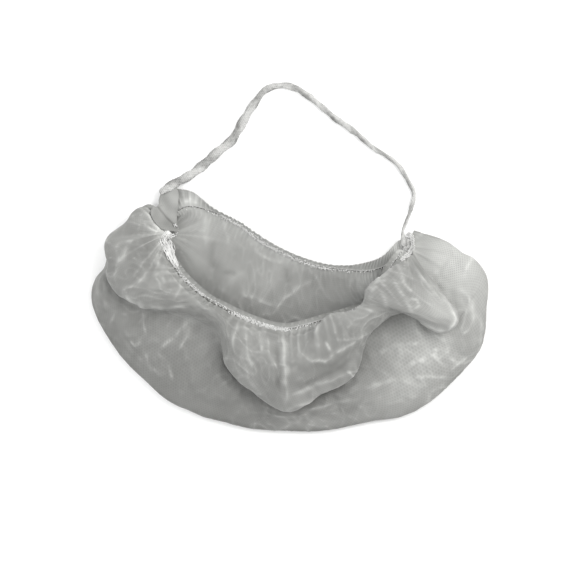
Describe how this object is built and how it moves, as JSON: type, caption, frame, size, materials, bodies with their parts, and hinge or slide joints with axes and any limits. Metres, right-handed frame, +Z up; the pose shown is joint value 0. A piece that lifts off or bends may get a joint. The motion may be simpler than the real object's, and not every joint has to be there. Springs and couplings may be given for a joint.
{
  "type": "beard net",
  "caption": "Disposable hygiene net for a beard: a gathered pouch of fine white netting with an elastic mouth and an elastic head loop.",
  "frame": {"origin": "on the surface that the net lies on, under the middle of the open mouth's front part", "axes": "+X from the left gathered corner to the right one as seen from above, +Y from the pouch to the head loop, +Z up out of the open mouth"},
  "size_m": [0.2771, 0.2431, 0.0413],
  "materials": {
    "netting": "fine see-through knitted nylon net, matt with a soft sheen",
    "elastic": "covered elastic thread under overlock stitches",
    "strap": "rolled strip of the same net round an elastic thread",
    "gathered_thread": "bunched net tacked with white thread"
  },
  "bodies": {
    "root": {"net_pouch": "netting", "front_elastic": "elastic", "back_elastic": "elastic", "head_strap": "strap", "left_gather": "gathered_thread", "right_gather": "gathered_thread"}
  },
  "joints": []
}
